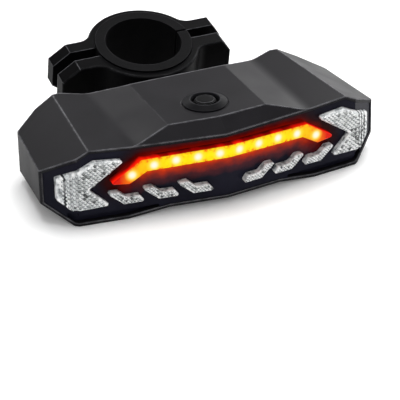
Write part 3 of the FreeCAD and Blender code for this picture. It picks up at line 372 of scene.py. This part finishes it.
def fold_ribs(tree):
    """1 on the upright ribs inside the folded ends, whose grooves are painted as dark wavy lines of shade,
    and 0 between them.

    On the left, where they catch the light, the painted shade is weaker, and only the outermost one shows
    fully.
    """
    first_mm, pitch_mm, wave_mm = 47.8, 1.6, 0.62
    flat, run, _ = front_place(tree)
    zigzag = sums(tree, "MULTIPLY", sums(tree, "PINGPONG", upward(tree, flat), wave_mm * MM), 0.5)
    place = sums(tree, "SUBTRACT", sums(tree, "ADD", run, zigzag), first_mm * MM)
    ribs = sums(tree, "SINE", sums(tree, "MULTIPLY", place, math.tau / (pitch_mm * MM)))
    ribs = sums(tree, "MULTIPLY_ADD", ribs, 2.4, -0.3, clamp=True)

    x = add(tree, "ShaderNodeSeparateXYZ", {0: own_place(tree)}).outputs["X"]
    on_right = sums(tree, "GREATER_THAN", x, 0.0)
    outermost = sums(tree, "SUBTRACT", 1.0, fade(tree, run, 50.3, 50.8))
    # Painted shade is weaker on the left ribs, as the light falls on them there
    shown = sums(tree, "MAXIMUM", sums(tree, "MAXIMUM", on_right, outermost), 0.3)
    broken = sums(tree, "MULTIPLY", noise(tree, 2.4, 1.0), 1.9, clamp=True)
    ribs = sums(tree, "MULTIPLY", sums(tree, "MULTIPLY", ribs, shown), broken)

    starts = sums(tree, "SUBTRACT", 1.0, fade(tree, run, 47.4, 47.9))
    ends = fade(tree, run, 52.2, 52.6)
    return sums(tree, "MULTIPLY", ribs, sums(tree, "MULTIPLY", starts, ends))


def paint_ribbed(tree, body, colour):
    """Paints a clear lens, with a thin clear coat except on its ribs, which are painted dark as shade."""
    ribs = fold_ribs(tree)
    # Painted shade: the ribs' grooves are painted near black
    tree.links.new(mixed(tree, ribs, colour, linear("#24282a")), body.inputs["Base Color"])
    tree.links.new(sums(tree, "MULTIPLY_ADD", ribs, -0.2, 0.2), body.inputs["Coat Weight"])


def make_clear_lens():
    """Turn lenses: clear polycarbonate, polished, over prisms; edges carry a painted glassy highlight."""
    made, tree, body = surface("clear_polycarbonate", Roughness=0.14, IOR=1.58, Specular_IOR_Level=0.25)
    soft, edge = rounded_edges(tree, 0.35)
    cells = steps(tree, noise(tree, 1.6), [(0.34, "#7c8082"), (0.46, "#ccd0d2"), (0.6, "#ffffff")])
    # Painted highlight: the lens's outer edges are painted near white
    paint_ribbed(tree, body, mixed(tree, edge, cells, linear("#f0f2f2")))
    grained(tree, body, 1.2, 0.1, 0.35, Normal=soft)
    return made


def make_prism_finish():
    """Micro prisms moulded into the clear lenses: pale grey to white, each one a little lighter or darker at
    random.

    A facet that faces up is painted bright and one that faces down is painted grey, a painted reflection
    of the sky and of the dark board behind.
    """
    made, tree, body = surface("prismatic_polycarbonate", Roughness=0.22, IOR=1.58, Specular_IOR_Level=0.2)
    # Painted reflection: facets are painted lighter the more they face up and to the front
    facing = vector(tree, "DOT_PRODUCT", "Value", {0: own_normal(tree), 1: (0.35, -0.35, 0.87)})
    painted_facet_light = steps(tree, facing, [(0.1, "#84888a"), (0.45, "#dce0e0"), (0.7, "#ffffff")])
    shade = add(tree, "ShaderNodeAttribute", attribute_name="shade").outputs["Fac"]
    shade = steps(tree, shade, [(0.0, "#484a4a"), (0.14, "#c8cac8"), (0.4, "#ffffff")])
    paint_ribbed(tree, body, times(tree, painted_facet_light, shade))
    return made


# The values of moulded are shades, roughness, grain size and depth in mm, the painted edge highlight and edge
# radius in mm
FINISHES = {made.name: made for made in (
    # ABS, moulded in charcoal with a fine spark-eroded grain: satin, edges painted lighter as a highlight
    moulded("casing_abs", ("#111013", "#18171a"), 0.42, 0.35, 0.02, casing_edge_highlight, 0.85,
            Specular_IOR_Level=0.04),
    # The same ABS, moulded with a coarser grain on the underside: duller, with a painted highlight on its
    # edges
    moulded("cover_abs", ("#161618", "#1c1c1e"), 0.55, 0.5, 0.03, plain_edge_highlight("#48484b")),
    # Glass-filled nylon, moulded: blacker than the casing, with a weaker sheen and a painted highlight on its
    # edges
    moulded("clamp_nylon", ("#050506", "#09090a"), 0.4, 0.4, 0.02, plain_edge_highlight("#707074"), 0.4,
            Specular_IOR_Level=0.02),
    # EPDM rubber sleeve, moulded: nearly black, matt, with a faint painted highlight on its edges
    moulded("sleeve_epdm", ("#0b0b0c", "#101011"), 0.6, 0.6, 0.02, plain_edge_highlight("#303032"),
            Specular_IOR_Level=0.02),
    # Silicone rubber button and flap, moulded: black with a soft sheen, and a painted highlight on its edges
    moulded("button_silicone", ("#0a0a0b", "#0f0f10"), 0.5, 0.4, 0.01, plain_edge_highlight("#707073"),
            Specular_IOR_Level=0.02),
    # The button's ring, moulded from a firmer silicone: a little lighter, with a dimmer painted highlight on
    # its edges
    moulded("ring_silicone", ("#0f0f11", "#151517"), 0.45, 0.4, 0.01, plain_edge_highlight("#38383b"), 0.5,
            Specular_IOR_Level=0.02),
    # Silicone gaskets, moulded: black, matt
    moulded("seal_silicone", ("#0c0c0c", "#121212"), 0.6, 0.6, 0.02),
    # White polycarbonate light frame, moulded, and lamp boards under white solder resist: satin white
    moulded("white_polycarbonate", ("#dcdcd6", "#ecece8"), 0.4, 0.6, 0.02),
    # Glass-epoxy boards, etched and coated with green solder resist: deep green with some gloss
    moulded("solder_resist", ("#0c3a20", "#125030"), 0.3, 1.2, 0.03),
    # Epoxy moulding compound of the chips, the switch and the siren's can: dull black
    moulded("black_epoxy", ("#131314", "#1b1b1d"), 0.5, 0.4, 0.02),
    # Phosphor in silicone, cast into the lamp packages: pale yellow
    moulded("lamp_phosphor", ("#e6d98a", "#f2e9b0"), 0.35, 0.6, 0.01),
    # Laminated aluminium foil pouch, pressed: silvery grey
    machined("pouch_foil", ("#b8babd", "#ced0d3"), 0.32),
    # Steel screws, rolled and zinc plated: mid grey, bright
    machined("zinc_steel", ("#8f9296", "#b0b3b6"), 0.3),
    # Socket shell, folded from nickel-plated steel sheet: pale grey, brighter still
    machined("nickel_steel", ("#a8aaac", "#c4c6c8"), 0.22),
    # Turned steel with black oxide: nearly black, oily sheen
    machined("black_oxide_steel", ("#1b1b1d", "#29292b"), 0.38),
    # Brass, turned inserts and rolled membrane: yellow, bright
    machined("turned_brass", ("#a8883e", "#c8a654"), 0.28),
    make_lit_acrylic(),
    make_bezel_gloss(),
    make_clear_lens(),
    make_prism_finish(),
)}

NODE_FINISH = {
    "casing_abs": ["housing_shell"],
    "cover_abs": ["bottom_cover"],
    "clamp_nylon": ["mount_bracket", "clamp_front", "clamp_rear"],
    "sleeve_epdm": ["clamp_sleeve"],
    "button_silicone": ["button_cap", "port_cover"],
    "ring_silicone": ["button_ring"],
    "seal_silicone": ["front_seal", "cover_seal"],
    "white_polycarbonate": ["light_baffle", "right_led_board", "left_led_board"],
    "solder_resist": ["main_board", "charge_board"],
    "black_epoxy": ["control_chips", "tact_switch", "switch_plunger", "siren"],
    "lamp_phosphor": ["bar_leds", "signal_leds"],
    "pouch_foil": ["battery_cell"],
    "zinc_steel": ["board_screws", "bracket_screws"],
    "nickel_steel": ["usb_socket"],
    "black_oxide_steel": [
        "cover_screws", "pivot_bolt", "pivot_nut", "bolt_washers", "right_clamp_bolt", "left_clamp_bolt"],
    "turned_brass": ["siren_membrane", "clamp_inserts"],
    "lit_red_acrylic": ["light_bar_lens"],
    "smoked_polycarbonate": ["front_bezel"],
    "clear_polycarbonate": [
        "right_arrow_lens", "left_arrow_lens", "right_chevron_lenses", "left_chevron_lenses"],
}
for finish, members in NODE_FINISH.items():
    for member in members:
        mesh = nodes[member].data
        mesh.materials.clear()
        mesh.materials.append(FINISHES[finish])


# Micro prisms on the clear lenses

def front_depth(x_mm, proud_mm):
    """Depth of a place on a lens's face, which follows the swept front and its fold."""
    run = abs(x_mm) * MM
    swept = SWEEP * min(run, FOLD_X) + FOLD_SLOPE * max(run - FOLD_X, 0.0)
    return CREASE_Y + swept - proud_mm * MM


def inset(points, distance):
    """Counter-clockwise outline with every edge moved inwards."""
    moved = []
    for (px, pz), (x, z), (nx, nz) in zip(points[-1:] + points[:-1], points, points[1:] + points[:1]):
        before = Vector((x - px, z - pz)).normalized()
        after = Vector((nx - x, nz - z)).normalized()
        normals = [Vector((-before.y, before.x)), Vector((-after.y, after.x))]
        bisector = (normals[0] + normals[1]).normalized()
        moved.append((x + bisector.x * distance / bisector.dot(normals[0]),
                      z + bisector.y * distance / bisector.dot(normals[0])))
    return moved


def face_sheet(name, outlines, side, proud_mm):
    """Open sheet that lies on the lens faces, for the prisms to stand on."""
    sheet = bmesh.new()
    for outline in outlines:
        corners = [sheet.verts.new((side * x * MM, 0, z * MM)) for x, z in outline]
        face = sheet.faces.new(corners if side > 0 else corners[::-1])
        face.normal_update()
        parts = [face, *face.edges, *face.verts]
        bmesh.ops.bisect_plane(sheet, geom=parts, plane_co=(side * FOLD_X, 0, 0), plane_no=(1, 0, 0))
    bmesh.ops.triangulate(sheet, faces=sheet.faces[:])
    for corner in sheet.verts:
        corner.co.y = front_depth(corner.co.x / MM, proud_mm)
    mesh = bpy.data.meshes.new(name)
    sheet.to_mesh(mesh)
    sheet.free()
    made = bpy.data.objects.new(name, mesh)
    bpy.context.scene.collection.objects.link(made)
    return made


def prism_tree():
    """Geometry tree: rows of four-sided prisms on a sheet, laid diamond-wise and tilted a little.

    Each prism carries a random number as its shade.
    """
    tree = bpy.data.node_groups.new("micro_prisms", "GeometryNodeTree")
    sockets = {"Geometry": "NodeSocketGeometry", "Pitch": "NodeSocketFloat", "Height": "NodeSocketFloat",
               "Tilt": "NodeSocketFloat", "Seed": "NodeSocketInt", "Finish": "NodeSocketMaterial"}
    for name, kind in sockets.items():
        tree.interface.new_socket(name, in_out="INPUT", socket_type=kind)
    tree.interface.new_socket("Geometry", in_out="OUTPUT", socket_type="NodeSocketGeometry")
    given = add(tree, "NodeGroupInput").outputs

    # Points of a grid in front of the sheet are thrown back onto it, and those that miss it go
    span = 130 * MM
    in_front = 30 * MM
    count = sums(tree, "DIVIDE", span, given["Pitch"])
    grid = add(tree, "GeometryNodeMeshGrid", {
        "Size X": span, "Size Y": span, "Vertices X": count, "Vertices Y": count})
    upright = add(tree, "GeometryNodeTransform", {
        "Geometry": grid.outputs["Mesh"], "Translation": (0, CREASE_Y - in_front, 0),
        "Rotation": (math.pi / 2, math.pi / 4, 0)})
    ray = add(tree, "GeometryNodeRaycast", {
        "Target Geometry": given["Geometry"], "Ray Direction": (0, 1, 0), "Ray Length": 0.2})
    missed = add(tree, "FunctionNodeBooleanMath", {0: ray.outputs["Is Hit"]}, operation="NOT")
    kept = upright
    for name, value, data_type in (("faces", ray.outputs["Hit Normal"], "FLOAT_VECTOR"),
                                   ("missed", missed.outputs[0], "BOOLEAN")):
        kept = add(tree, "GeometryNodeStoreNamedAttribute", {
            "Geometry": kept.outputs[0], "Name": name, "Value": value}, data_type=data_type, domain="POINT")
    placed = add(tree, "GeometryNodeSetPosition", {
        "Geometry": kept.outputs[0], "Selection": ray.outputs["Is Hit"],
        "Position": ray.outputs["Hit Position"]})
    lost = add(tree, "GeometryNodeInputNamedAttribute", {"Name": "missed"}, data_type="BOOLEAN")
    left = add(tree, "GeometryNodeDeleteGeometry", {
        "Geometry": placed.outputs[0], "Selection": lost.outputs["Attribute"]}, domain="POINT")

    # One prism. Corners at 0.7 of the pitch make its sides about as long as the pitch, and it is sunk
    # into the lens by 0.3 of its height
    corners, sunk = 0.7, 0.3
    cone = add(tree, "GeometryNodeMeshCone", {
        "Vertices": 4, "Radius Bottom": sums(tree, "MULTIPLY", given["Pitch"], corners),
        "Depth": sums(tree, "MULTIPLY", given["Height"], 1 + sunk)})
    drop = add(tree, "ShaderNodeCombineXYZ", {"Z": sums(tree, "MULTIPLY", given["Height"], -sunk)})
    prism = add(tree, "GeometryNodeTransform", {
        "Geometry": cone.outputs["Mesh"], "Translation": drop.outputs[0]})
    normal = add(tree, "GeometryNodeInputNamedAttribute", {"Name": "faces"}, data_type="FLOAT_VECTOR")
    stand = add(tree, "FunctionNodeAlignRotationToVector", {"Vector": normal.outputs["Attribute"]}, axis="Z")
    low = sums(tree, "MULTIPLY", given["Tilt"], -1.0)
    tilt = add(tree, "FunctionNodeRandomValue", {
        0: add(tree, "ShaderNodeCombineXYZ", {"X": low, "Y": low}).outputs[0],
        1: add(tree, "ShaderNodeCombineXYZ", {"X": given["Tilt"], "Y": given["Tilt"]}).outputs[0],
        "Seed": given["Seed"]}, data_type="FLOAT_VECTOR")
    turn = add(tree, "FunctionNodeEulerToRotation", {0: tilt.outputs[0]})
    tilted = add(tree, "FunctionNodeRotateRotation", {
        "Rotation": stand.outputs[0], "Rotate By": turn.outputs[0]}, rotation_space="LOCAL")
    rows = add(tree, "GeometryNodeInstanceOnPoints", {
        "Points": left.outputs[0], "Instance": prism.outputs[0], "Rotation": tilted.outputs[0]})
    shade = add(tree, "FunctionNodeRandomValue", {"Seed": given["Seed"]}, data_type="FLOAT")
    shaded = add(tree, "GeometryNodeStoreNamedAttribute", {
        "Geometry": rows.outputs[0], "Name": "shade", "Value": shade.outputs[1]},
        data_type="FLOAT", domain="INSTANCE")
    real = add(tree, "GeometryNodeRealizeInstances", {0: shaded.outputs[0]})
    painted = add(tree, "GeometryNodeSetMaterial", {"Geometry": real.outputs[0], "Material": given["Finish"]})
    add(tree, "NodeGroupOutput", {0: painted.outputs[0]})
    return tree


def grow(sheet, tree, values):
    """Gives the sheet the tree's result as its plain mesh; values are the tree's inputs by name."""
    modifier = sheet.modifiers.new("grow", "NODES")
    modifier.node_group = tree
    names = {item.name: item.identifier for item in tree.interface.items_tree if item.in_out == "INPUT"}
    for name, value in values.items():
        modifier[names[name]] = value
    depsgraph = bpy.context.evaluated_depsgraph_get()
    result = bpy.data.meshes.new_from_object(sheet.evaluated_get(depsgraph))
    sheet.modifiers.remove(modifier)
    sheet.data = result


# For each kind: outlines a little inside the lenses' own, how far the sheet stands proud, just over the
# lens's face, then the prisms' pitch and height, all in mm, their tilt in radians and the seed
ARROW_PRISM_END = 52.0
PRISM_ROWS = {
    "arrow_prisms": (
        [[(min(x, ARROW_PRISM_END), z) for x, z in inset(ARROW, 0.45)]],
        ARROW_PROUD + 0.08, 1.0, 0.3, 0.08, 4),
    "chevron_prisms": (
        [[(x - n * CHEVRON_PITCH, z) for x, z in inset(CHEVRON, 0.4)] for n in range(3)],
        CHEVRON_PROUD + 0.05, 0.75, 0.2, 0.14, 14),
}
prisms = prism_tree()
for side, word in ((1, "right"), (-1, "left")):
    for kind, (outlines, proud, pitch, height, tilt, seed) in PRISM_ROWS.items():
        piece = face_sheet(word + "_" + kind, outlines, side, proud)
        grow(piece, prisms, {
            "Pitch": pitch * MM, "Height": height * MM, "Tilt": tilt, "Seed": seed + side,
            "Finish": FINISHES["prismatic_polycarbonate"]})
        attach(piece, "light")


# Floor, background, lights and camera

LIGHT_MIDDLE = Vector((0, 0, 0.015))
WORLD_LIGHT = 0.34


def seen_straight(tree):
    """1 for what the camera sees, straight, mirrored or through glass, and 0 for what lights the object."""
    path = add(tree, "ShaderNodeLightPath").outputs
    seen = sums(tree, "MAXIMUM", path["Is Camera Ray"], path["Is Glossy Ray"])
    return sums(tree, "MAXIMUM", seen, path["Is Transmission Ray"])


def make_floor():
    """Plain pale floor that keeps the shadow, and stays white far out, where the lamps don't reach."""
    made, tree, body = surface(
        "pale_floor", Roughness=0.9, Specular_IOR_Level=0.1, Emission_Color=(1, 1, 1, 1))
    tint = steps(tree, noise(tree, 300.0), [(0.3, "#f6f6f6"), (0.7, "#fafafa")])
    tree.links.new(tint, body.inputs["Base Color"])
    near = fade(tree, vector(tree, "LENGTH", "Value", {0: own_place(tree)}), 250.0, 900.0)
    glow = sums(tree, "SUBTRACT", 1.0, sums(tree, "MULTIPLY", near, 0.9))
    tree.links.new(sums(tree, "MULTIPLY", seen_straight(tree), glow), body.inputs["Emission Strength"])
    reach = 6.0
    corners = [(-reach, -reach, 0), (reach, -reach, 0), (reach, reach, 0), (-reach, reach, 0)]
    mesh = bpy.data.meshes.new("floor")
    mesh.from_pydata(corners, [], [(0, 1, 2, 3)])
    mesh.materials.append(made)
    floor = bpy.data.objects.new("floor", mesh)
    bpy.context.scene.collection.objects.link(floor)


def make_world():
    """White behind everything that is seen or mirrored, and a plain even light."""
    world = bpy.data.worlds.new("studio")
    bpy.context.scene.world = world
    world.use_nodes = True
    tree = world.node_tree
    tree.nodes.clear()
    strength = spread(tree, seen_straight(tree), 0.0, 1.0, WORLD_LIGHT, 1.0)
    background = add(tree, "ShaderNodeBackground", {"Color": (1, 1, 1, 1), "Strength": strength})
    add(tree, "ShaderNodeOutputWorld", {"Surface": background.outputs[0]})


def add_softbox(name, place, size, watts):
    """Square lamp that faces the middle of the light."""
    lamp = bpy.data.lights.new(name, "AREA")
    lamp.size = size
    lamp.energy = watts
    made = bpy.data.objects.new(name, lamp)
    made.location = place
    made.visible_camera = False
    made.rotation_euler = (LIGHT_MIDDLE - Vector(place)).to_track_quat("-Z", "Y").to_euler()
    bpy.context.scene.collection.objects.link(made)


def make_camera():
    """Camera solved from the photograph, with its place measured from the front crease."""
    turn, tilt, roll = (math.radians(angle) for angle in (-22.78, 28.40, -1.47))
    back = Vector((math.sin(turn) * math.cos(tilt), -math.cos(turn) * math.cos(tilt), math.sin(tilt)))
    level = Vector((math.cos(turn), math.sin(turn), 0))
    upright = back.cross(level)
    right = level * math.cos(roll) + upright * math.sin(roll)
    up = upright * math.cos(roll) - level * math.sin(roll)
    lens = bpy.data.cameras.new("camera")
    focal_px = 2234.2
    frame_px = 400
    lens.sensor_width = 36.0
    lens.lens = focal_px * lens.sensor_width / frame_px
    lens.clip_start = 0.01
    made = bpy.data.objects.new("camera", lens)
    place = Matrix.Translation((-0.24616, CREASE_Y - 0.56346, 0.33367))
    made.matrix_world = place @ Matrix((right, up, back)).transposed().to_4x4()
    bpy.context.scene.collection.objects.link(made)
    bpy.context.scene.camera = made


make_floor()
make_world()
add_softbox("softbox_right", (0.26, 0.16, 0.18), 0.26, 1.0)
add_softbox("softbox_back", (-0.03, 0.46, 0.32), 0.18, 0.7)
add_softbox("softbox_top", (0.03, 0.02, 0.50), 0.32, 1.9)
add_softbox("softbox_front", (-0.14, -0.54, 0.44), 0.40, 0.8)
make_camera()
bpy.context.scene.view_settings.view_transform = "Standard"
